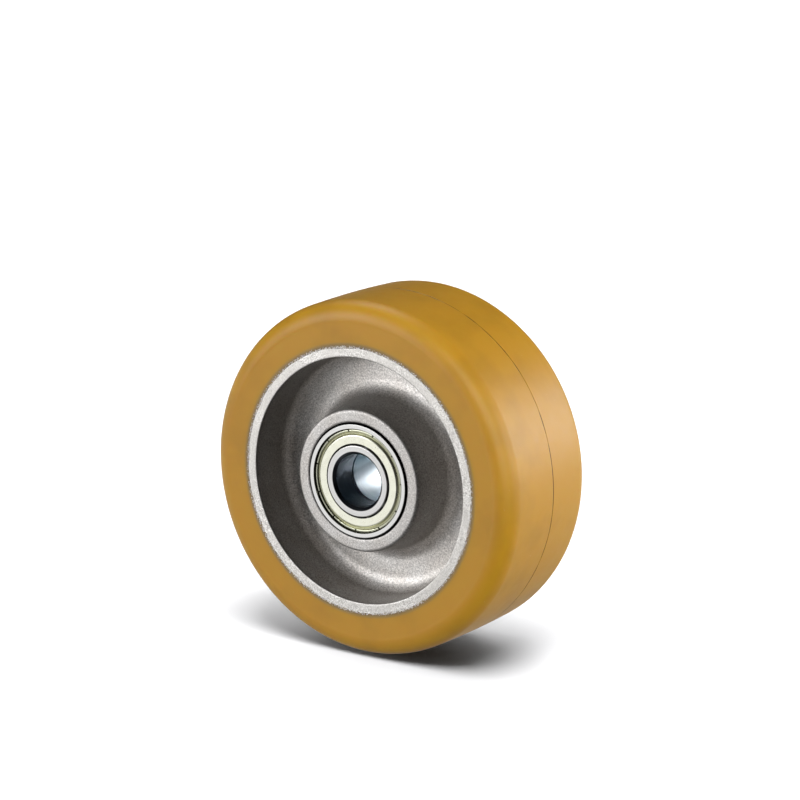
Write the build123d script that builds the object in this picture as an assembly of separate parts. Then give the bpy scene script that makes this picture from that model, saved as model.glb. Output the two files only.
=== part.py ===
from build123d import *
import math
import os

# A trolley wheel: a polyurethane tyre cast on a one-piece aluminium centre, which turns on two
# shielded ball bearings with a spacer tube between their inner rings.
# The wheel spins about Y through the origin, its front face looks towards -Y, and Z is up.
# All sizes are millimetres and degrees.

# Tyre
tread_diameter = 100.0
tyre_width = 40.0
tyre_thickness = 12.5
tread_crown = 0.5
shoulder_radius = 5.4
parting_groove_width = 0.4
parting_groove_depth = 0.12
parting_offset = 1.0

# Cast centre
rim_wall = 3.0
rim_edge_radius = 0.25
barrel_draft = 0.5
web_thickness = 9.4
web_fillet_share = 0.343
hub_wall = 4.0
hub_draft = 8.0
hub_recess = 0.3
hub_edge_radius = 0.9
seat_chamfer = 0.6
seat_shoulder = 2.5

# Ball bearings, of the 15 x 32 x 9 series
bearing_bore = 15.0
bearing_diameter = 32.0
bearing_width = 9.0
bearing_stand_out = 0.3
bore_chamfer = 0.8
inner_ring_edge = 0.25
outer_ring_edge = 0.3
ball_section_share = 0.56
ball_fill_angle = 186.0
race_depth = 0.66
inner_race_ratio = 0.52
outer_race_ratio = 0.53
race_clearance = 0.03

# Pressed ball cage and its rivets
cage_sheet = 0.4
pocket_clearance = 0.12
cage_width_share = 0.57
rivet_diameter = 0.9
rivet_head_diameter = 1.5
rivet_head_height = 0.3

# Pressed shields
shield_sheet = 0.3
shield_recess = 0.4
shield_lip_gap = 0.5
shield_cage_gap = 0.35
shield_seat_height = 1.2
shield_snap_groove = 0.25
shield_bend_radius = 0.2
shield_foot = 0.2
curl_drop_share = 0.22
curl_crown_width = 0.3
curl_slope_width = 0.32
valley_floor_width = 0.4
valley_slope_width = 0.5
notch_count = 11
notch_width = 0.45
notch_start_angle = 4.7

# Spacer tube
spacer_bore_clearance = 0.1
spacer_step = 0.2
spacer_chamfer = 0.3

# Places along the axle
half_width = tyre_width / 2
hub_face_y = half_width - hub_recess
bearing_face_y = hub_face_y + bearing_stand_out
bearing_mid_y = bearing_face_y - bearing_width / 2
seat_bottom_y = bearing_face_y - bearing_width

# Radii of the cast centre and the tyre
tread_r = tread_diameter / 2
shoulder_r = tread_r - tread_crown
rim_outer_r = tread_r - tyre_thickness
rim_inner_r = rim_outer_r - rim_wall
barrel_root_r = rim_inner_r - (half_width - web_thickness / 2) * math.tan(math.radians(barrel_draft))
seat_r = bearing_diameter / 2
hub_r = seat_r + hub_wall
hub_root_r = hub_r + (hub_face_y - web_thickness / 2) * math.tan(math.radians(hub_draft))
hub_bore_r = seat_r - seat_shoulder
web_fillet = web_fillet_share * (barrel_root_r - hub_root_r)

# Radii inside a bearing
bore_r = bearing_bore / 2
ball_diameter = ball_section_share * (bearing_diameter - bearing_bore) / 2
ball_r = ball_diameter / 2
pitch_r = (bearing_bore + bearing_diameter) / 4
inner_race_r = pitch_r - ball_r - race_clearance
outer_race_r = pitch_r + ball_r + race_clearance
inner_land_r = inner_race_r + race_depth
outer_land_r = outer_race_r - race_depth
ball_count = round(1 + ball_fill_angle / (2 * math.degrees(math.asin(ball_r / pitch_r))))

# Cage and shield, which share the room between the balls and the bearing's face
pocket_r = ball_r + pocket_clearance
pocket_back_r = pocket_r + cage_sheet
shield_depth = bearing_width / 2 - pocket_back_r - shield_cage_gap
shield_lip_r = inner_land_r + shield_lip_gap
shield_seat_r = outer_land_r + shield_seat_height
cage_width = cage_width_share * (outer_land_r - inner_land_r)
cage_inner_r = pitch_r - cage_width / 2
cage_outer_r = pitch_r + cage_width / 2

# Spacer tube between the two inner rings
spacer_bore_r = bore_r + spacer_bore_clearance
spacer_outer_r = inner_land_r - spacer_step


def rounded(section, r, y, radius):
    """Rounds the corner of a section that lies at radius r and height y."""
    corner = section.vertices().sort_by_distance((r, y, 0))[0]
    return fillet(corner, radius)


def bevelled(section, r, y, length):
    """Bevels the corner of a section that lies at radius r and height y."""
    corner = section.vertices().sort_by_distance((r, y, 0))[0]
    return chamfer(corner, length)


def turned(section):
    """The solid of revolution of a section, whose x is the radius and y the place on the axle."""
    return revolve(section, Axis.Y)


def band(inner_r, outer_r, low_y, high_y):
    """A rectangular section between two radii."""
    middle = Pos((inner_r + outer_r) / 2, (low_y + high_y) / 2)
    return middle * Rectangle(outer_r - inner_r, high_y - low_y)


def tyre():
    """The polyurethane tread: flat sides, round shoulders, a slight crown and the mould's parting line."""
    side = Line((rim_outer_r, -half_width), (shoulder_r, -half_width))
    crown = ThreePointArc((shoulder_r, -half_width), (tread_r, 0), (shoulder_r, half_width))
    far_side = Line((shoulder_r, half_width), (rim_outer_r, half_width))
    bond = Line((rim_outer_r, half_width), (rim_outer_r, -half_width))
    section = make_face([side, crown, far_side, bond])
    section = rounded(section, shoulder_r, -half_width, shoulder_radius)
    section = rounded(section, shoulder_r, half_width, shoulder_radius)
    groove = make_face(Polyline(
        (tread_r - parting_groove_depth, parting_offset),
        (tread_r + parting_groove_depth, parting_offset - parting_groove_width),
        (tread_r + parting_groove_depth, parting_offset + parting_groove_width),
        close=True))
    return turned(section - groove)


def wheel_centre():
    """The casting: rim, flat web and tapered hub in one piece, hollowed alike from both faces."""
    front = [
        (hub_bore_r, -seat_bottom_y),
        (seat_r, -seat_bottom_y),
        (seat_r, -hub_face_y),
        (hub_r, -hub_face_y),
        (hub_root_r, -web_thickness / 2),
        (barrel_root_r, -web_thickness / 2),
        (rim_inner_r, -half_width),
        (rim_outer_r, -half_width)]
    back = [(r, -y) for r, y in reversed(front)]
    section = make_face(Polyline(*front, *back, close=True))
    for side in (-1, 1):
        section = rounded(section, hub_root_r, side * web_thickness / 2, web_fillet)
        section = rounded(section, barrel_root_r, side * web_thickness / 2, web_fillet)
        section = rounded(section, hub_r, side * hub_face_y, hub_edge_radius)
        section = rounded(section, rim_inner_r, side * half_width, rim_edge_radius)
        section = bevelled(section, seat_r, side * hub_face_y, seat_chamfer)
    return turned(section)


def spacer_tube():
    """The steel tube that keeps the two inner rings apart."""
    section = band(spacer_bore_r, spacer_outer_r, -seat_bottom_y, seat_bottom_y)
    for side in (-1, 1):
        section = bevelled(section, spacer_outer_r, side * seat_bottom_y, spacer_chamfer)
    return turned(section)


def inner_ring():
    """A bearing's inner ring, with its ball race and the lead-in of its bore."""
    section = band(bore_r, inner_land_r, -bearing_width / 2, bearing_width / 2)
    for side in (-1, 1):
        section = bevelled(section, bore_r, side * bearing_width / 2, bore_chamfer)
        section = rounded(section, inner_land_r, side * bearing_width / 2, inner_ring_edge)
    race_radius = inner_race_ratio * ball_diameter
    return turned(section - Pos(inner_race_r + race_radius, 0) * Circle(race_radius))


def outer_ring():
    """A bearing's outer ring, with its ball race and the two snap grooves that hold the shields."""
    section = band(outer_land_r, seat_r, -bearing_width / 2, bearing_width / 2)
    for side in (-1, 1):
        section = rounded(section, seat_r, side * bearing_width / 2, outer_ring_edge)
        face_y = side * bearing_width / 2
        floor_y = side * (bearing_width / 2 - shield_depth)
        lip_y = side * (bearing_width / 2 - shield_depth / 2)
        section -= make_face(Polyline(
            (outer_land_r, face_y),
            (outer_land_r, floor_y),
            (shield_seat_r + shield_snap_groove, floor_y),
            (shield_seat_r, lip_y),
            (shield_seat_r, face_y),
            close=True))
    race_radius = outer_race_ratio * ball_diameter
    return turned(section - Pos(outer_race_r - race_radius, 0) * Circle(race_radius))


def pitch_places(count, start=0.0):
    """Places spread evenly round the axle, with x pointing away from it."""
    return [Rot(0, start + 360 * i / count, 0) for i in range(count)]


def balls():
    """The ring of balls, each a solid of its own."""
    return [place * Pos(pitch_r, 0, 0) * Sphere(ball_r) for place in pitch_places(ball_count)]


def rivet_places():
    """Places of the rivets, half way between the balls."""
    half_step = 180 / ball_count
    return [place * Pos(pitch_r, 0, 0) * Rot(90, 0, 0) for place in pitch_places(ball_count, half_step)]


def cage_half(side):
    """One pressed half of the ribbon cage: round pockets over the balls and flats between them."""
    flats = turned(band(cage_inner_r, cage_outer_r, 0, side * cage_sheet))
    ribbon = turned(band(cage_inner_r, cage_outer_r, 0, side * pocket_back_r))
    centre = Plane((pitch_r, 0, 0), x_dir=(0, -side, 0), z_dir=(1, 0, 0)).location
    backs = [place * centre * Sphere(pocket_back_r) for place in pitch_places(ball_count)]
    pockets = [place * centre * Sphere(pocket_r) for place in pitch_places(ball_count)]
    holes = [place * Cylinder(rivet_diameter / 2, 4 * cage_sheet) for place in rivet_places()]
    domes = ribbon & Part() + backs
    return domes + flats - pockets - holes


def cage_rivets():
    """The rivets that close the cage's two halves on each other."""
    shank = Cylinder(rivet_diameter / 2, 2 * cage_sheet)
    head_places = [Pos(0, 0, side * (cage_sheet + rivet_head_height / 2)) for side in (-1, 1)]
    rivet = shank + [place * Cylinder(rivet_head_diameter / 2, rivet_head_height) for place in head_places]
    return Compound([place * rivet for place in rivet_places()])


def shield():
    """A pressed steel shield: flat washer, valley, notched curl, and a foot in the ring's snap groove.

    It is modelled for the face that looks towards -Y, with the bearing's mid-plane at the origin.
    """
    flat_y = -bearing_width / 2 + shield_recess + shield_sheet / 2
    low_y = -bearing_width / 2 + shield_depth - shield_sheet / 2
    foot_r = shield_seat_r - shield_foot
    foot_tip_r = shield_seat_r + shield_snap_groove / 3
    curl_y = flat_y + curl_drop_share * (low_y - flat_y)
    curl_r = foot_r - curl_slope_width
    crown_r = curl_r - curl_crown_width
    valley_r = crown_r - curl_slope_width
    valley_start_r = valley_r - valley_floor_width
    flat_r = valley_start_r - valley_slope_width
    centre_line = FilletPolyline(
        (shield_lip_r, flat_y),
        (flat_r, flat_y),
        (valley_start_r, low_y),
        (valley_r, low_y),
        (crown_r, curl_y),
        (curl_r, curl_y),
        (foot_r, low_y),
        (foot_tip_r, low_y),
        radius=shield_bend_radius)
    washer = turned(trace(centre_line, shield_sheet))
    notch_length = shield_seat_r + shield_snap_groove - valley_r
    notch_middle_r = valley_r + shield_sheet / 2 + notch_length / 2
    notch = Pos(notch_middle_r, -bearing_width / 2, 0) * Box(notch_length, 2 * shield_depth, notch_width)
    return washer - [place * notch for place in pitch_places(notch_count, -notch_start_angle)]


def bearing():
    """One bearing's pieces by name, its mid-plane at the origin and its outer face towards -Y."""
    face_shield = shield()
    pieces = {
        "inner_ring": inner_ring(),
        "outer_ring": outer_ring(),
        "face_shield": face_shield,
        "hub_shield": Rot(0, 0, 180) * face_shield,
        "cage_face_half": cage_half(-1),
        "cage_hub_half": cage_half(1),
        "cage_rivets": cage_rivets()}
    for i, ball in enumerate(balls()):
        pieces[f"ball_{i + 1}"] = ball
    return pieces


def wheel():
    """Every piece of the wheel by name, where it sits."""
    pieces = {"tyre": tyre(), "wheel_centre": wheel_centre(), "spacer_tube": spacer_tube()}
    front_place = Pos(0, -bearing_mid_y, 0)
    rear_place = Pos(0, bearing_mid_y, 0) * Rot(0, 0, 180)
    for name, piece in bearing().items():
        pieces[f"front_{name}"] = front_place * piece
        pieces[f"rear_{name}"] = rear_place * piece
    return pieces


os.makedirs("parts", exist_ok=True)
for node, piece in wheel().items():
    export_step(piece, f"parts/{node}.step")
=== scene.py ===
import math

import bmesh
import bpy
from mathutils import Euler, Matrix, Vector, noise


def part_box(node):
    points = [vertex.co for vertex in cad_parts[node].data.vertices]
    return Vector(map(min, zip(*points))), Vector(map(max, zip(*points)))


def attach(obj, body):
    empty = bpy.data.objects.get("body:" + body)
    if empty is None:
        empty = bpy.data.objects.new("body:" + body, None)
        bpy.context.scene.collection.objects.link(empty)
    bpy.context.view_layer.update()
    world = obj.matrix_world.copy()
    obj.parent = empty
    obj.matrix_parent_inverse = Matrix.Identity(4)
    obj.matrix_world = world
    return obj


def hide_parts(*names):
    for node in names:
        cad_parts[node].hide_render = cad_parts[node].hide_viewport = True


bl_info = {
    "name": "Trolley wheel",
    "version": (1, 0, 0),
    "blender": (4, 5, 0),
    "location": "3D View > Sidebar > Trolley wheel",
    "description": "Dresses a trolley wheel's tyre, cast centre, bearings and spacer, and sets its stage",
    "category": "Object",
}

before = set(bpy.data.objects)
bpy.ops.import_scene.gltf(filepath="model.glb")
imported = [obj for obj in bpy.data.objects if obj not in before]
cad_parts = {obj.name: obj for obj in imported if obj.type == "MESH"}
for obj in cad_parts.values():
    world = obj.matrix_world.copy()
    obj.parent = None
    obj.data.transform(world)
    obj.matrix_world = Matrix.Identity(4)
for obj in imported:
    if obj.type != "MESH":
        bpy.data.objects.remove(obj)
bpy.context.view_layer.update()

MM = 0.001
SIDES = ("front", "rear")
TREAD_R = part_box("tyre")[1].x
HALF_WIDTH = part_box("tyre")[1].y
RIM_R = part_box("wheel_centre")[1].x
BEARING_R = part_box("front_outer_ring")[1].x
BEARING_INNER_Y = -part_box("front_outer_ring")[1].y
BORE_R = 7.5 * MM
TYRE_SEGMENTS = 480
CENTRE_SEGMENTS = 420
STREAK = 0.12


# Colours that stay as they are, painted shades among them

BLACK = (0.0, 0.0, 0.0)
WHITE = (1.0, 1.0, 1.0)
# Painted shade in the crevice between the hub and the bearing's outer ring
CREVICE_PAINTED_SHADE = (0.02, 0.02, 0.02)
# Painted shade in the parting line's groove
PARTING_PAINTED_SHADE = (0.10, 0.045, 0.008)
# Painted shade inside the inner rings' bore
BORE_PAINTED_SHADE = (0.09, 0.10, 0.115)
STAIN_TINT = (0.84, 0.80, 0.76)
# Painted shade on the cast centre's walls
WALL_PAINTED_SHADE = (0.60, 0.59, 0.58)
# Painted shade along the spacer tube's upper side
TOP_PAINTED_SHADE = (0.22, 0.29, 0.32)
# Painted shade in the shields' valley and curl and where they meet the outer ring
VALLEY_PAINTED_SHADE = (0.50, 0.50, 0.40)
CURL_PAINTED_SHADE = (0.60, 0.61, 0.56)
SEAT_PAINTED_SHADE = (0.08, 0.08, 0.07)
SPARKLE = (0.77, 0.76, 0.745)
BALL_STEEL = (0.82, 0.82, 0.83)
CAGE_STEEL = (0.60, 0.58, 0.55)
BACKDROP = (0.9, 0.9, 0.9, 1.0)


# Sizes and colours that a user would change

class TyreSettings(bpy.types.PropertyGroup):
    """The polyurethane tyre."""
    crown: bpy.props.FloatProperty(
        name="Crown", description="Rise of the tread at mid-width over its shoulders",
        default=0.5 * MM, min=0.0, unit="LENGTH", subtype="DISTANCE")
    shoulder: bpy.props.FloatProperty(
        name="Shoulder", description="Radius between the side and the tread",
        default=5.4 * MM, min=0.001, unit="LENGTH", subtype="DISTANCE")
    parting_width: bpy.props.FloatProperty(
        name="Parting line width", description="Width of the mould's parting line round the tread",
        default=0.34 * MM, min=0.0, unit="LENGTH", subtype="DISTANCE")
    parting_depth: bpy.props.FloatProperty(
        name="Parting line depth", description="Depth of the mould's parting line",
        default=0.16 * MM, min=0.0, unit="LENGTH", subtype="DISTANCE")
    parting_offset: bpy.props.FloatProperty(
        name="Parting line offset", description="From mid-width to the parting line, towards the rear",
        default=1.0 * MM, unit="LENGTH", subtype="DISTANCE")
    parting_wander: bpy.props.FloatProperty(
        name="Parting line wander", description="How far the parting line strays to either side",
        default=0.35 * MM, min=0.0, unit="LENGTH", subtype="DISTANCE")
    flash: bpy.props.FloatProperty(
        name="Flash", description="How far the trimmed edge wanders over the metal rim",
        default=0.35 * MM, min=0.0, unit="LENGTH", subtype="DISTANCE")
    ripple: bpy.props.FloatProperty(
        name="Ripple", description="Depth of the casting's slow waves on the sides and the tread",
        default=0.05 * MM, min=0.0, unit="LENGTH", subtype="DISTANCE")
    amber: bpy.props.FloatVectorProperty(
        name="Amber", description="The polyurethane's body colour",
        default=(0.485, 0.242, 0.012), size=3, min=0.0, max=1.0, subtype="COLOR")
    deep_amber: bpy.props.FloatVectorProperty(
        name="Deep amber", description="Colour where light has come a long way through the shoulder",
        default=(0.53, 0.280, 0.010), size=3, min=0.0, max=1.0, subtype="COLOR")
    bond_shade: bpy.props.FloatVectorProperty(
        name="Bond shade", description="Colour beside the metal rim, which shows through",
        default=(0.30, 0.19, 0.07), size=3, min=0.0, max=1.0, subtype="COLOR")
    scrap: bpy.props.FloatVectorProperty(
        name="Scraps", description="Colour of the scraps of bright metal caught in the trimmed edge",
        default=(0.92, 0.84, 0.70), size=3, min=0.0, max=1.0, subtype="COLOR")


class CentreSettings(bpy.types.PropertyGroup):
    """The cast aluminium centre."""
    rim_wall: bpy.props.FloatProperty(
        name="Rim wall", description="Thickness of the rim at its face",
        default=3.0 * MM, min=0.0, unit="LENGTH", subtype="DISTANCE")
    web: bpy.props.FloatProperty(
        name="Web", description="Thickness of the web between rim and hub",
        default=9.4 * MM, min=0.0, unit="LENGTH", subtype="DISTANCE")
    web_fillet: bpy.props.FloatProperty(
        name="Web fillet", description="Radius where the web meets the rim and the hub",
        default=4.2 * MM, min=0.0001, unit="LENGTH", subtype="DISTANCE")
    hub_wall: bpy.props.FloatProperty(
        name="Hub wall", description="Thickness of the hub round the bearing, at its face",
        default=4.0 * MM, min=0.0, unit="LENGTH", subtype="DISTANCE")
    hub_recess: bpy.props.FloatProperty(
        name="Hub recess", description="How far the hub's face lies behind the rim's",
        default=0.3 * MM, min=0.0, unit="LENGTH", subtype="DISTANCE")
    hub_draft: bpy.props.FloatProperty(
        name="Hub draft", description="Taper of the hub's outside",
        default=math.radians(8.0), unit="ROTATION", subtype="ANGLE")
    barrel_draft: bpy.props.FloatProperty(
        name="Barrel draft", description="Taper of the rim's inside",
        default=math.radians(0.5), unit="ROTATION", subtype="ANGLE")
    skin: bpy.props.FloatProperty(
        name="Casting skin", description="Depth of the unevenness on the faces left as cast",
        default=0.05 * MM, min=0.0, unit="LENGTH", subtype="DISTANCE")
    aluminium: bpy.props.FloatVectorProperty(
        name="Cast aluminium", description="Colour of the faces left as cast",
        default=(0.57, 0.555, 0.54), size=3, min=0.0, max=1.0, subtype="COLOR")
    turned: bpy.props.FloatVectorProperty(
        name="Turned aluminium", description="Colour of the rim's face, trimmed bright",
        default=(0.43, 0.416, 0.396), size=3, min=0.0, max=1.0, subtype="COLOR")


class BearingSettings(bpy.types.PropertyGroup):
    """The two ball bearings and the spacer tube."""
    ring: bpy.props.FloatVectorProperty(
        name="Ring steel", description="Colour of the ground rings",
        default=(0.82, 0.815, 0.80), size=3, min=0.0, max=1.0, subtype="COLOR")
    shield: bpy.props.FloatVectorProperty(
        name="Shield", description="Colour of the yellow-passivated shields",
        default=(0.90, 0.90, 0.76), size=3, min=0.0, max=1.0, subtype="COLOR")
    spacer: bpy.props.FloatVectorProperty(
        name="Spacer", description="Colour of the zinc-bright spacer tube",
        default=(0.86, 0.92, 0.97), size=3, min=0.0, max=1.0, subtype="COLOR")


class StageSettings(bpy.types.PropertyGroup):
    """Camera, floor and lights."""
    azimuth: bpy.props.FloatProperty(
        name="Azimuth", description="The camera's way round from the front face, towards +X",
        default=math.radians(34.61), unit="ROTATION", subtype="ANGLE")
    elevation: bpy.props.FloatProperty(
        name="Elevation", description="The camera's height over the wheel, as an angle",
        default=math.radians(13.66), unit="ROTATION", subtype="ANGLE")
    distance: bpy.props.FloatProperty(
        name="Distance", description="From the camera to the front face, along the camera's axis",
        default=0.8629, min=0.1, unit="LENGTH", subtype="DISTANCE")
    lens: bpy.props.FloatProperty(
        name="Lens", description="Focal length on a sensor 36 mm wide",
        default=142.44, min=10.0, unit="CAMERA")
    aim_pixel: bpy.props.FloatVectorProperty(
        name="Aim pixel", description="Where the front face's centre is in the photograph's frame",
        default=(357.02, 481.46), size=2)
    floor_colour: bpy.props.FloatVectorProperty(
        name="Floor", description="Colour of the pale floor",
        default=(0.92, 0.92, 0.93), size=3, min=0.0, max=1.0, subtype="COLOR")


# Mesh building

def steps_between(start, end, steps):
    """Evenly spaced values from start towards end, without the end."""
    return [start + (end - start) * i / steps for i in range(steps)]


def run(start, end, steps):
    """Points (r, y) along a straight stretch, without its end."""
    return list(zip(steps_between(start[0], end[0], steps), steps_between(start[1], end[1], steps)))


def arc(centre, radius, start, end, steps):
    """Points (r, y) of an arc, from angle start to angle end in degrees, both included."""
    points = []
    for i in range(steps + 1):
        angle = math.radians(start + (end - start) * i / steps)
        points.append((centre[0] + radius * math.cos(angle), centre[1] + radius * math.sin(angle)))
    return points


def mirrored(points):
    """The rear points that mirror the front ones, so that an outline can go on with them."""
    return [(r, -y) for r, y in reversed(points)]


def turned_piece(name, outline, segments, place, material_of):
    """A mesh turned about the axle from a closed outline of (r, y) points.

    place(k, angle, r, y) gives the r and y of point k at that angle, so an edge may wander or ripple.
    material_of(k) gives the material slot of the faces between point k and the next point.
    """
    bm = bmesh.new()
    rings = []
    for s in range(segments):
        angle = 2 * math.pi * s / segments
        ring = []
        for k, (r, y) in enumerate(outline):
            r, y = place(k, angle, r, y)
            ring.append(bm.verts.new((r * math.cos(angle), y, r * math.sin(angle))))
        rings.append(ring)
    for s, here in enumerate(rings):
        there = rings[(s + 1) % segments]
        for k in range(len(outline)):
            j = (k + 1) % len(outline)
            face = bm.faces.new((here[k], there[k], there[j], here[j]))
            face.smooth = True
            face.material_index = material_of(k)
    bmesh.ops.recalc_face_normals(bm, faces=bm.faces)
    mesh = bpy.data.meshes.new(name)
    bm.to_mesh(mesh)
    bm.free()
    piece = bpy.data.objects.new(name, mesh)
    bpy.context.scene.collection.objects.link(piece)
    return piece


def waves(angle, r, y, size, seed):
    """Smooth noise from -1 to 1 over the wheel's own surface, with waves about one size long."""
    point = Vector((r * math.cos(angle), y, r * math.sin(angle))) / size
    return noise.noise(point + Vector((seed, 2.0 * seed, 3.0 * seed)))


# Materials

def shade(colour, factor):
    """A colour made darker or lighter."""
    return [min(1.0, factor * c) for c in colour]


class Nodes:
    """A node tree under construction."""

    def __init__(self, tree):
        self.tree = tree

    def add(self, kind, values=None, links=None, **attributes):
        """A new node with its attributes, its inputs' values and the outputs linked into it."""
        node = self.tree.nodes.new(kind)
        for key, value in attributes.items():
            setattr(node, key, value)
        for key, value in (values or {}).items():
            node.inputs[key].default_value = value
        for key, value in (links or {}).items():
            self.tree.links.new(value, node.inputs[key])
        return node

    def axis(self, vector, letter):
        """The X, Y or Z of a vector."""
        return self.add("ShaderNodeSeparateXYZ", links={"Vector": vector}).outputs[letter]

    def range(self, value, low, high, to_low=0.0, to_high=1.0):
        """The value's stretch from low to high, spread from to_low to to_high."""
        return self.add(
            "ShaderNodeMapRange",
            {"From Min": low, "From Max": high, "To Min": to_low, "To Max": to_high},
            {"Value": value}).outputs["Result"]

    def math(self, operation, a, b=None):
        """One sum on outputs or plain numbers."""
        node = self.add("ShaderNodeMath", operation=operation)
        for socket, value in zip(node.inputs, (a, b)):
            if isinstance(value, (int, float)):
                socket.default_value = value
            elif value is not None:
                self.tree.links.new(value, socket)
        return node.outputs["Value"]

    def mix(self, factor, a, b, blend_type="MIX"):
        """Two colours, plain or linked, mixed by a factor."""
        node = self.add("ShaderNodeMix", data_type="RGBA", blend_type=blend_type)
        colour_a, colour_b, colour_result = 6, 7, 2
        sockets = (node.inputs["Factor"], node.inputs[colour_a], node.inputs[colour_b])
        for socket, value in zip(sockets, (factor, a, b)):
            if isinstance(value, bpy.types.NodeSocket):
                self.tree.links.new(value, socket)
            elif isinstance(value, (int, float)):
                socket.default_value = value
            else:
                socket.default_value = (*value[:3], 1.0)
        return node.outputs[colour_result]

    def multiply(self, colour, tint):
        """A colour times a tint, plain or linked."""
        return self.mix(1.0, colour, tint, "MULTIPLY")

    def ramp(self, factor, stops):
        """A colour ramp through (place, colour) stops."""
        node = self.add("ShaderNodeValToRGB", links={"Fac": factor})
        elements = node.color_ramp.elements
        while len(elements) < len(stops):
            elements.new(0.5)
        for element, (place, colour) in zip(elements, stops):
            element.position = place
            element.color = (*colour[:3], 1.0)
        return node.outputs["Color"]


class Surface(Nodes):
    """A material under construction."""

    def __init__(self, name):
        self.material = bpy.data.materials.new(name)
        self.material.use_nodes = True
        super().__init__(self.material.node_tree)
        self.shader = self.tree.nodes["Principled BSDF"]
        places = self.add("ShaderNodeTexCoord").outputs
        self.coordinates = places["Object"]
        self.normals = places["Normal"]

    def link(self, output, socket):
        """An output linked into the shader."""
        self.tree.links.new(output, self.shader.inputs[socket])

    def set(self, **values):
        """Constants on the shader's own sockets; an underscore in a name stands for a space."""
        for key, value in values.items():
            self.shader.inputs[key.replace("_", " ")].default_value = value

    def noise(self, size, detail=2.0, roughness=0.5, coordinates=None):
        """Noise with lumps about one size across, from 0 to 1."""
        return self.add(
            "ShaderNodeTexNoise", {"Scale": 1.0 / size, "Detail": detail, "Roughness": roughness},
            {"Vector": coordinates or self.coordinates}).outputs["Fac"]

    def bump(self, height, distance, strength):
        """Surface relief of that depth, over whatever relief there is already."""
        node = self.add("ShaderNodeBump", {"Strength": strength, "Distance": distance}, {"Height": height})
        socket = self.shader.inputs["Normal"]
        if socket.is_linked:
            self.tree.links.new(socket.links[0].from_socket, node.inputs["Normal"])
        self.tree.links.new(node.outputs["Normal"], socket)

    def radius(self):
        """Distance from the axle."""
        squares = [self.math("POWER", self.axis(self.coordinates, letter), 2.0) for letter in "XZ"]
        return self.math("SQRT", self.math("ADD", *squares))

    def across(self):
        """Distance from the wheel's mid-plane."""
        return self.math("ABSOLUTE", self.axis(self.coordinates, "Y"))


def polyurethane(settings, name):
    """Cast amber polyurethane: satin, cloudy with depth, deeper in colour along the shoulders."""
    m = Surface(name)
    radius = m.radius()
    side = m.ramp(
        m.range(radius, RIM_R, TREAD_R),
        [(0.0, settings.bond_shade), (0.10, settings.amber), (0.62, settings.amber),
         (0.86, settings.deep_amber), (1.0, settings.amber)])
    cloud = m.range(m.noise(size=14 * MM, detail=3.0), 0.35, 0.65, to_low=0.90, to_high=1.08)
    colour = m.multiply(side, m.ramp(cloud, [(0.0, BLACK), (1.0, WHITE)]))
    if name == "parting_line_shade":
        # Painted shade in the parting line's groove, shown in places along it
        shown = m.range(m.noise(size=6 * MM, detail=1.0), 0.36, 0.56, to_low=0.15, to_high=0.95)
        colour = m.mix(shown, colour, PARTING_PAINTED_SHADE)
    scraps = m.noise(size=0.5 * MM, detail=3.0, roughness=0.7)
    reach = m.range(radius, RIM_R - 0.2 * MM, RIM_R + 0.8 * MM, to_low=0.46, to_high=0.74)
    caught = m.range(m.math("SUBTRACT", scraps, reach), 0.0, 0.05)
    m.link(m.mix(caught, colour, settings.scrap), "Base Color")
    m.link(m.range(m.noise(size=3 * MM, detail=4.0), 0.3, 0.7, to_low=0.43, to_high=0.48), "Roughness")
    m.set(IOR=1.5, Specular_IOR_Level=0.5, Subsurface_Weight=0.35, Subsurface_Scale=6 * MM)
    m.set(Subsurface_Radius=(1.0, 0.45, 0.12))
    m.bump(m.noise(size=9 * MM), distance=0.14 * MM, strength=0.5)
    m.bump(m.noise(size=0.5 * MM, detail=3.0), distance=0.004 * MM, strength=0.6)
    return m.material


def cast_aluminium(settings):
    """Cast aluminium: sandy grain, faint stains, and painted shade on walls, hub face and bearing crevice.
    """
    m = Surface("cast_aluminium")
    grain = m.noise(size=0.42 * MM, detail=4.0, roughness=0.7)
    light = settings.aluminium
    sand = m.ramp(grain, [(0.28, shade(light, 0.5)), (0.5, light), (0.72, shade(light, 1.5))])
    stains = m.range(m.noise(size=7 * MM, detail=3.0), 0.35, 0.7, to_high=0.55)
    stained = m.mix(stains, sand, m.multiply(sand, STAIN_TINT))
    # Painted shade: the walls, which don't face along the axle, are made darker
    facing = m.range(m.math("ABSOLUTE", m.axis(m.normals, "Y")), 0.10, 0.60)
    walls = m.mix(facing, m.multiply(stained, WALL_PAINTED_SHADE), stained)
    # Painted shade, darkening towards the hub's face
    hub_face_shade = m.range(m.across(), HALF_WIDTH - 1.2 * MM, HALF_WIDTH - 0.4 * MM, to_high=0.24)
    skin = m.mix(hub_face_shade, walls, BLACK)
    # Painted shade in the crevice round the bearing
    crevice_shade_mask = m.range(m.radius(), BEARING_R + 0.34 * MM, BEARING_R + 0.50 * MM)
    m.link(m.mix(crevice_shade_mask, CREVICE_PAINTED_SHADE, skin), "Base Color")
    m.link(m.range(grain, 0.3, 0.7, to_low=0.64, to_high=0.52), "Roughness")
    m.set(Metallic=1.0)
    m.bump(m.noise(size=2.4 * MM, detail=3.0), distance=0.05 * MM, strength=0.7)
    m.bump(grain, distance=0.035 * MM, strength=0.8)
    return m.material


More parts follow.
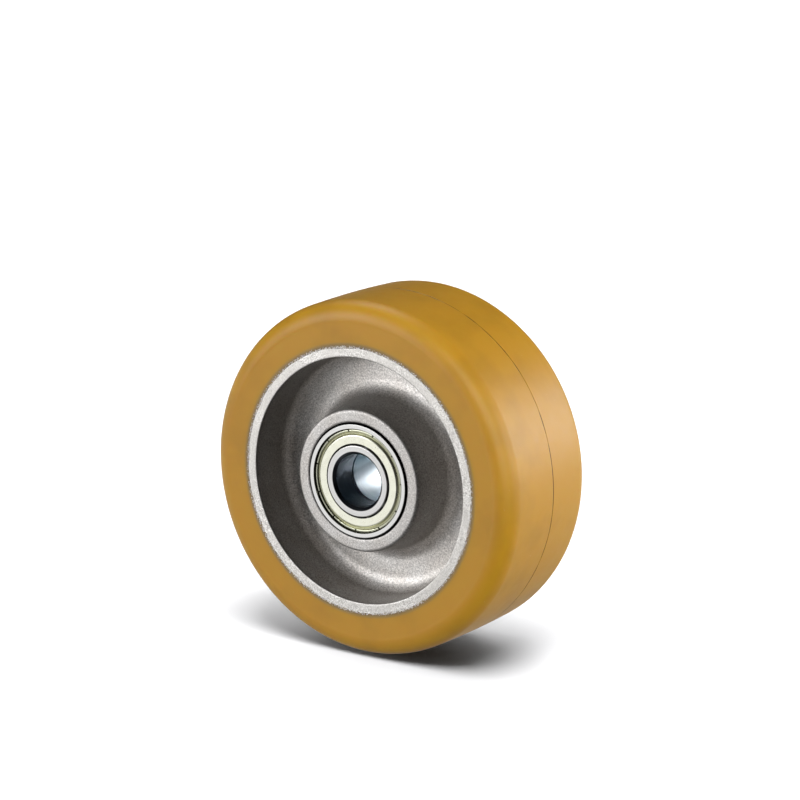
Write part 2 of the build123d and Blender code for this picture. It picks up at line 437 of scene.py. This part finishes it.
def turned_aluminium(settings):
    """The rim's face, trimmed bright with the tyre: torn and sparkling, with calmer patches."""
    m = Surface("turned_aluminium")
    speck = m.noise(size=0.32 * MM, detail=4.0, roughness=0.78)
    bright = settings.turned
    torn = m.ramp(speck, [(0.36, shade(bright, 0.45)), (0.48, bright), (0.68, SPARKLE)])
    patch = m.range(m.noise(size=11 * MM, detail=1.0), 0.42, 0.60, to_low=0.35)
    m.link(m.mix(patch, bright, torn), "Base Color")
    m.link(m.range(speck, 0.3, 0.7, to_low=0.60, to_high=0.42), "Roughness")
    m.set(Metallic=1.0)
    m.bump(speck, distance=0.03 * MM, strength=0.9)
    return m.material


def ground_steel(name, colour, roughness, bore=None, rim=None, top=None):
    """Ground steel, with fine marks that run round the axle.

    It has a painted shade inside the radius bore and at the outer radius rim, and top is a painted shade
    over its upper side.
    """
    m = Surface(name)
    radius = m.radius()
    round_marks = m.add("ShaderNodeCombineXYZ", links={"X": radius, "Y": m.across()}).outputs["Vector"]
    marks = m.noise(size=0.12 * MM, detail=3.0, coordinates=round_marks)
    steel = m.ramp(marks, [(0.3, shade(colour, 0.86)), (0.7, colour)])
    if bore is not None:
        # Painted shade inside the bore
        past_bore = m.range(radius, bore + 0.75 * MM, bore + 0.9 * MM)
        steel = m.mix(past_bore, BORE_PAINTED_SHADE, steel)
    if top is not None:
        # Painted shade, darker along the upper side
        height = m.range(m.axis(m.coordinates, "Z"), -4.0 * MM, 3.0 * MM)
        steel = m.mix(height, steel, m.multiply(steel, top))
    if rim is not None:
        # Painted shade at the outer ring's rim, in the crevice by the hub
        past_rim = m.range(radius, rim - 0.3 * MM, rim - 0.15 * MM)
        steel = m.mix(past_rim, steel, CREVICE_PAINTED_SHADE)
    m.link(steel, "Base Color")
    m.link(m.range(marks, 0.3, 0.7, roughness * (1 + STREAK), roughness * (1 - STREAK)), "Roughness")
    m.set(Metallic=1.0)
    m.bump(marks, distance=0.002 * MM, strength=0.6)
    return m.material


def passivated_sheet(settings):
    """The shields' pressed sheet: pale yellow, with painted shade in its valley and curl and at the outer
    ring.
    """
    m = Surface("shield_sheet")
    cloud = m.noise(size=2.2 * MM, detail=3.0)
    plain = m.ramp(cloud, [(0.35, shade(settings.shield, 0.93)), (0.65, settings.shield)])
    flat_edge = BEARING_R - 3.35 * MM
    seat = BEARING_R - 1.45 * MM
    # Painted shade by radius: in the valley and curl, darkest at the outer ring
    painted_recess_shade = m.ramp(
        m.range(m.radius(), flat_edge, seat),
        [(0.0, WHITE), (0.2, VALLEY_PAINTED_SHADE), (0.48, VALLEY_PAINTED_SHADE),
         (0.64, CURL_PAINTED_SHADE), (0.84, CURL_PAINTED_SHADE), (1.0, SEAT_PAINTED_SHADE)])
    m.link(m.multiply(plain, painted_recess_shade), "Base Color")
    m.link(m.range(cloud, 0.3, 0.7, to_low=0.24, to_high=0.34), "Roughness")
    m.set(Metallic=1.0)
    m.bump(m.noise(size=0.25 * MM), distance=0.003 * MM, strength=0.6)
    return m.material


def plain_floor(settings):
    """A pale, even floor."""
    m = Surface("floor")
    tone = m.noise(size=0.4)
    colour = settings.floor_colour
    m.link(m.ramp(tone, [(0.3, shade(colour, 0.985)), (0.7, colour)]), "Base Color")
    m.set(Roughness=0.8)
    return m.material


# Pieces

def settings_of(name):
    """The scene's settings of that name."""
    return getattr(bpy.context.scene, name)


def give(node, material):
    """Puts a material on a CAD node."""
    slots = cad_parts[node].data.materials
    slots.clear()
    slots.append(material)


class WHEEL_OT_tyre(bpy.types.Operator):
    """Make the polyurethane tyre, with its trimmed edge and parting line"""
    bl_idname = "trolley_wheel.tyre"
    bl_label = "Tyre"

    def execute(self, context):
        s = settings_of("wheel_tyre")
        lip = 0.05 * MM
        torn_swing = 1.2 * s.flash
        ease_points = 5
        fill = 0.75
        edge_r = RIM_R - s.flash
        shoulder_y = HALF_WIDTH - s.shoulder
        crown_radius = (HALF_WIDTH ** 2 + s.crown ** 2) / (2 * s.crown)

        def tread_r(y):
            return TREAD_R - crown_radius + math.sqrt(crown_radius ** 2 - y ** 2)

        arc_r = tread_r(shoulder_y) - s.shoulder
        flank = [
            (RIM_R + s.flash, -HALF_WIDTH + lip),
            (edge_r, -HALF_WIDTH + lip),
            (edge_r, -HALF_WIDTH + 0.2 * lip)]
        edge_points = len(flank)
        flank += run((edge_r + 0.4 * lip, -HALF_WIDTH), (arc_r, -HALF_WIDTH), steps=24)
        flank += arc((arc_r, -shoulder_y), s.shoulder, -90, 0, steps=22)
        line_y = s.parting_offset
        width = s.parting_width
        tread = [(tread_r(y), y) for y in steps_between(-shoulder_y, line_y - width, steps=26)[1:]]
        tread.append((tread_r(line_y - width), line_y - width))
        groove_profile = ((-0.5, 0.0), (-0.22, 0.7), (0.0, 1.0), (0.22, 0.7), (0.5, 0.0))
        groove_start = len(flank) + len(tread) + 1
        groove = range(groove_start, groove_start + len(groove_profile) - 2)
        tread += [(TREAD_R - share * s.parting_depth, line_y + across * width)
                  for across, share in groove_profile]
        tread += [(tread_r(y), y) for y in steps_between(line_y + width, shoulder_y, steps=24)]
        outline = flank + tread + mirrored(flank)
        last = len(outline) - 1

        def torn(angle, y):
            coarse = waves(angle, RIM_R, y, size=5 * MM, seed=3.0)
            fine = waves(angle, RIM_R, y, size=1.1 * MM, seed=7.0)
            return torn_swing * (coarse + 0.5 * fine)

        def place(k, angle, r, y):
            near_side = min(k, last - k)
            if near_side == 0:
                return r + s.flash, y
            if near_side < edge_points:
                return r + torn(angle, y), y
            dip = s.ripple * (0.5 + 0.5 * waves(angle, r, y, size=16 * MM, seed=11.0))
            if near_side < len(flank) and r < arc_r:
                ease = min(1.0, (near_side - edge_points) / ease_points)
                return r, y - math.copysign(dip * ease, y)
            r -= dip
            if abs(y - line_y) <= width:
                y += s.parting_wander * waves(angle, TREAD_R, 0.0, size=24 * MM, seed=5.0)
            if k in groove:
                shown = 0.5 + 0.5 * waves(angle, TREAD_R, 0.0, size=7 * MM, seed=9.0)
                r += (TREAD_R - dip - r) * fill * (1.0 - shown)
            return r, y

        def material_of(k):
            return 1 if k in groove or k + 1 in groove else 0

        piece = turned_piece("tyre_tread", outline, TYRE_SEGMENTS, place, material_of)
        piece.data.materials.append(polyurethane(s, "polyurethane"))
        piece.data.materials.append(polyurethane(s, "parting_line_shade"))
        piece.visible_diffuse = False
        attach(piece, "wheel")
        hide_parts("tyre")
        return {"FINISHED"}


class WHEEL_OT_centre(bpy.types.Operator):
    """Make the cast centre: rim, web and hub, with a sandy skin and trimmed rim faces"""
    bl_idname = "trolley_wheel.centre"
    bl_label = "Cast centre"

    def execute(self, context):
        s = settings_of("wheel_centre")
        inset = 0.045 * MM
        tuck = 0.5 * MM
        rim_edge = 0.25 * MM
        hub_edge = 0.9 * MM
        chamfer = 0.6 * MM
        fillet = s.web_fillet
        ease_points = 4
        rim_y = HALF_WIDTH - inset
        rim_inner = RIM_R - s.rim_wall
        web_y = 0.5 * s.web
        hub_y = HALF_WIDTH - s.hub_recess
        hub_r = BEARING_R + s.hub_wall
        shoulder_r = BEARING_R - 2.5 * MM
        hub_lean = math.degrees(s.hub_draft)
        barrel_lean = math.degrees(s.barrel_draft)
        hub_root = hub_r + (hub_y - web_y) * math.tan(s.hub_draft)
        barrel_root = rim_inner - (HALF_WIDTH - web_y) * math.tan(s.barrel_draft)
        hub_centre = (hub_root + fillet * math.tan(math.pi / 4 - s.hub_draft / 2), -web_y - fillet)
        barrel_centre = (barrel_root - fillet * math.tan(math.pi / 4 - s.barrel_draft / 2), -web_y - fillet)
        top_tangent = hub_edge * math.tan(math.pi / 4 + s.hub_draft / 2)
        top_centre = (hub_r + hub_edge * math.tan(s.hub_draft) - top_tangent, -hub_y + hub_edge)

        front = run((shoulder_r, -web_y), (shoulder_r, -BEARING_INNER_Y), steps=3)
        front += run((shoulder_r, -BEARING_INNER_Y), (BEARING_R, -BEARING_INNER_Y), steps=3)
        front += run((BEARING_R, -BEARING_INNER_Y), (BEARING_R, -hub_y + chamfer), steps=6)
        front += [(BEARING_R, -hub_y + chamfer), (BEARING_R + 0.5 * chamfer, -hub_y + 0.5 * chamfer)]
        machined_end = len(front) + 1
        front += run((BEARING_R + chamfer, -hub_y), (top_centre[0], -hub_y), steps=6)
        front += arc(top_centre, hub_edge, -90, -hub_lean, steps=8)
        wall_foot = (hub_centre[0] - fillet * math.cos(s.hub_draft),
                     hub_centre[1] + fillet * math.sin(s.hub_draft))
        front += run(front[-1], wall_foot, steps=16)[1:]
        front += arc(hub_centre, fillet, 180 - hub_lean, 90, steps=12)
        front += run((hub_centre[0], -web_y), (barrel_centre[0], -web_y), steps=10)[1:]
        front += arc(barrel_centre, fillet, 90, barrel_lean, steps=12)
        front += run(front[-1], (rim_inner, -rim_y + rim_edge), steps=20)[1:]
        cast_end = len(front)
        front += arc((rim_inner + rim_edge, -rim_y + rim_edge), rim_edge, 180, 270, steps=4)
        front += run(front[-1], (RIM_R + tuck, -rim_y), steps=8)[1:]
        front.append((RIM_R + tuck, -rim_y))
        outline = front + mirrored(front)
        last = len(outline) - 1
        mid_web = 0.5 * (hub_root + barrel_root)
        walls_from = web_y + 0.5 * fillet

        def near_side(k):
            return min(k, last - k)

        def place(k, angle, r, y):
            n = near_side(k)
            if not machined_end < n < cast_end:
                return r, y
            ease = min(1.0, (n - machined_end) / ease_points, (cast_end - n) / ease_points)
            coarse = waves(angle, r, y, size=4 * MM, seed=2.0)
            fine = waves(angle, r, y, size=1.3 * MM, seed=4.0)
            depth = s.skin * ease * (0.6 * coarse + 0.4 * fine)
            if abs(y) > walls_from:
                return (r + depth if r < mid_web else r - depth), y
            return r, y + math.copysign(depth, y)

        def material_of(k):
            following = (k + 1) % len(outline)
            return 1 if min(near_side(k), near_side(following)) >= cast_end else 0

        piece = turned_piece("cast_centre", outline, CENTRE_SEGMENTS, place, material_of)
        piece.data.materials.append(cast_aluminium(s))
        piece.data.materials.append(turned_aluminium(s))
        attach(piece, "wheel")
        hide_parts("wheel_centre")
        return {"FINISHED"}


class WHEEL_OT_bearings(bpy.types.Operator):
    """Finish the bearings' rings, shields, cages and balls"""
    bl_idname = "trolley_wheel.bearings"
    bl_label = "Bearings"

    def execute(self, context):
        s = settings_of("wheel_bearing")
        outer = ground_steel("outer_ring_steel", s.ring, roughness=0.22, rim=BEARING_R)
        inner = ground_steel("inner_ring_steel", shade(s.ring, 0.92), roughness=0.30, bore=BORE_R)
        ball = ground_steel("ball_steel", BALL_STEEL, roughness=0.06)
        cage = ground_steel("cage_steel", CAGE_STEEL, roughness=0.35)
        sheet = passivated_sheet(s)
        for side in SIDES:
            give(f"{side}_outer_ring", outer)
            give(f"{side}_inner_ring", inner)
            for name in ("face_shield", "hub_shield"):
                give(f"{side}_{name}", sheet)
            for name in ("cage_face_half", "cage_hub_half", "cage_rivets"):
                give(f"{side}_{name}", cage)
            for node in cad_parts:
                if node.startswith(f"{side}_ball_"):
                    give(node, ball)
        return {"FINISHED"}


class WHEEL_OT_spacer(bpy.types.Operator):
    """Finish the spacer tube between the bearings"""
    bl_idname = "trolley_wheel.spacer"
    bl_label = "Spacer tube"

    def execute(self, context):
        s = settings_of("wheel_bearing")
        give("spacer_tube", ground_steel("spacer_steel", s.spacer, roughness=0.60, top=TOP_PAINTED_SHADE))
        return {"FINISHED"}


class WHEEL_OT_stage(bpy.types.Operator):
    """Set the camera at the photograph's angle, a pale floor and soft lights"""
    bl_idname = "trolley_wheel.stage"
    bl_label = "Stage"

    def execute(self, context):
        s = settings_of("wheel_stage")
        self.camera(s)
        floor = self.floor(s)
        self.lights(floor)
        return {"FINISHED"}

    def camera(self, s):
        """The front face's centre falls on its pixel of the 800 by 800 frame."""
        frame_pixels = 800
        sensor = 36.0
        focal_pixels = s.lens / sensor * frame_pixels
        turn = Euler((math.pi / 2 - s.elevation, 0.0, s.azimuth)).to_matrix()
        aim = Vector((s.aim_pixel[0] - frame_pixels / 2, frame_pixels / 2 - s.aim_pixel[1], -focal_pixels))
        offset = aim * (s.distance / focal_pixels)
        face_centre = Vector((0.0, -HALF_WIDTH, 0.0))
        data = bpy.data.cameras.new("camera")
        data.sensor_width = sensor
        data.lens = s.lens
        data.clip_start = 0.01
        data.clip_end = 50.0
        camera = bpy.data.objects.new("camera", data)
        camera.matrix_world = Matrix.Translation(face_centre - turn @ offset) @ turn.to_4x4()
        bpy.context.scene.collection.objects.link(camera)
        bpy.context.scene.camera = camera

    def floor(self, s):
        """A wide floor under the tread, whose glare the room's light stands in for."""
        half = 4.0
        corners = [(-half, -half), (half, -half), (half, half), (-half, half)]
        mesh = bpy.data.meshes.new("floor")
        mesh.from_pydata([(x, y, -TREAD_R) for x, y in corners], [], [(0, 1, 2, 3)])
        floor = bpy.data.objects.new("floor", mesh)
        floor.data.materials.append(plain_floor(s))
        floor.visible_diffuse = False
        floor.visible_glossy = False
        bpy.context.scene.collection.objects.link(floor)
        return floor

    def lights(self, floor):
        """Soft boxes for the wheel, and two of their own for the floor, in a dim room."""
        floor_only = self.group("lit_floor", floor, "INCLUDE")
        not_floor = self.group("unlit_floor", floor, "EXCLUDE")
        tyre_only = self.group("lit_tyre", bpy.data.objects["tyre_tread"], "INCLUDE")
        centre_only = self.group("lit_centre", bpy.data.objects["cast_centre"], "INCLUDE")
        spacer_only = self.group("lit_spacer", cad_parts["spacer_tube"], "INCLUDE")
        self.soft_box("floor_light", (0.22, -0.24, 1.1), size=0.8, power=20.0, reaches=floor_only)
        self.soft_box("far_floor_light", (-1.4, 2.3, 1.8), size=3.4, power=110.0, reaches=floor_only,
                      aim=(-1.4, 2.3, 0.0))
        self.soft_box("key_light", (-0.85, -1.10, 0.42), size=0.80, power=9.6, reaches=not_floor)
        self.soft_box("face_light", (0.35, -0.60, 0.55), size=0.50, power=1.8, reaches=tyre_only)
        self.soft_box("dish_light", (-0.72, -1.00, 0.18), size=1.20, power=8.6, reaches=centre_only)
        self.soft_box("top_light", (-0.55, 0.25, 1.2), size=0.50, power=4.0, reaches=not_floor)
        self.soft_box("tread_light", (1.25, 0.20, 0.38), size=0.80, power=9.0, reaches=tyre_only)
        self.soft_box("sheen_light", (0.75, 1.05, 0.26), size=0.60, power=7.6, reaches=tyre_only)
        self.soft_box("shoulder_light", (0.95, -0.9, 0.30), size=0.90, power=8.4, reaches=tyre_only)
        self.soft_box("bore_light", (0.32, 0.43, 0.31), size=0.46, power=25.0, reaches=spacer_only)
        bpy.context.scene.world = self.room()
        bpy.context.scene.view_settings.view_transform = "Standard"

    def room(self):
        """A pale backdrop, and for the reflections a table's glow, a dim ceiling and one dark corner."""
        world = bpy.data.worlds.new("room")
        world.use_nodes = True
        room = Nodes(world.node_tree)
        direction = room.add("ShaderNodeTexCoord").outputs["Generated"]
        height = room.range(room.axis(direction, "Z"), -1.0, 1.0)
        shades_by_height = ((0.0, 0.30), (0.17, 0.40), (0.30, 0.98), (0.47, 0.98), (0.55, 0.05))
        glow = room.ramp(height, [(place, (tone, tone, tone)) for place, tone in shades_by_height])
        corner_direction = (0.8, -0.6, 0.0)
        to_corner = room.add(
            "ShaderNodeVectorMath", {1: corner_direction}, {0: direction}, operation="DOT_PRODUCT")
        strength = room.range(to_corner.outputs["Value"], 0.25, 0.70, to_low=1.0, to_high=0.06)
        reflected = world.node_tree.nodes["Background"]
        room.tree.links.new(glow, reflected.inputs["Color"])
        room.tree.links.new(strength, reflected.inputs["Strength"])
        backdrop = room.add("ShaderNodeBackground", {"Color": BACKDROP})
        camera_ray = room.add("ShaderNodeLightPath").outputs["Is Camera Ray"]
        shown = room.add("ShaderNodeMixShader", links={
            "Fac": camera_ray, 1: reflected.outputs["Background"], 2: backdrop.outputs["Background"]})
        room.tree.links.new(shown.outputs["Shader"], world.node_tree.nodes["World Output"].inputs["Surface"])
        return world

    def group(self, name, thing, state):
        """A list of what a light reaches: the one thing that is included, or all but the one excluded."""
        things = bpy.data.collections.new(name)
        things.objects.link(thing)
        things.collection_objects[0].light_linking.link_state = state
        return things

    def soft_box(self, name, place, size, power, reaches, aim=(0.0, 0.0, 0.0)):
        """A square light that faces the wheel, or the spot it aims at."""
        data = bpy.data.lights.new(name, "AREA")
        data.shape = "SQUARE"
        data.size = size
        data.energy = power
        light = bpy.data.objects.new(name, data)
        light.location = place
        light.rotation_euler = (Vector(place) - Vector(aim)).to_track_quat("Z", "Y").to_euler()
        light.light_linking.receiver_collection = reaches
        bpy.context.scene.collection.objects.link(light)


class WHEEL_PT_panel(bpy.types.Panel):
    """Sizes, colours and steps of the trolley wheel"""
    bl_idname = "WHEEL_PT_panel"
    bl_label = "Trolley wheel"
    bl_space_type = "VIEW_3D"
    bl_region_type = "UI"
    bl_category = "Trolley wheel"

    def draw(self, context):
        layout = self.layout
        for name, steps in SECTIONS:
            box = layout.box()
            group = getattr(context.scene, name)
            for prop in group.bl_rna.properties:
                if prop.identifier not in ("rna_type", "name"):
                    box.prop(group, prop.identifier)
            for step in steps:
                box.operator(step.bl_idname)


GROUPS = {
    "wheel_tyre": TyreSettings,
    "wheel_centre": CentreSettings,
    "wheel_bearing": BearingSettings,
    "wheel_stage": StageSettings,
}
SECTIONS = (
    ("wheel_tyre", (WHEEL_OT_tyre,)),
    ("wheel_centre", (WHEEL_OT_centre,)),
    ("wheel_bearing", (WHEEL_OT_bearings, WHEEL_OT_spacer)),
    ("wheel_stage", (WHEEL_OT_stage,)),
)
OPERATORS = tuple(step for name, steps in SECTIONS for step in steps)


def register():
    """Registers the settings, the operators and the panel."""
    for cls in (*GROUPS.values(), *OPERATORS, WHEEL_PT_panel):
        bpy.utils.register_class(cls)
    for name, group in GROUPS.items():
        setattr(bpy.types.Scene, name, bpy.props.PointerProperty(type=group))


def unregister():
    """Takes them all out again."""
    for name in GROUPS:
        delattr(bpy.types.Scene, name)
    for cls in (WHEEL_PT_panel, *reversed(OPERATORS), *reversed(GROUPS.values())):
        bpy.utils.unregister_class(cls)


def main():
    """Makes the whole model, step by step."""
    register()
    bpy.ops.trolley_wheel.tyre()
    bpy.ops.trolley_wheel.centre()
    bpy.ops.trolley_wheel.bearings()
    bpy.ops.trolley_wheel.spacer()
    bpy.ops.trolley_wheel.stage()


if __name__ == "__main__":
    main()
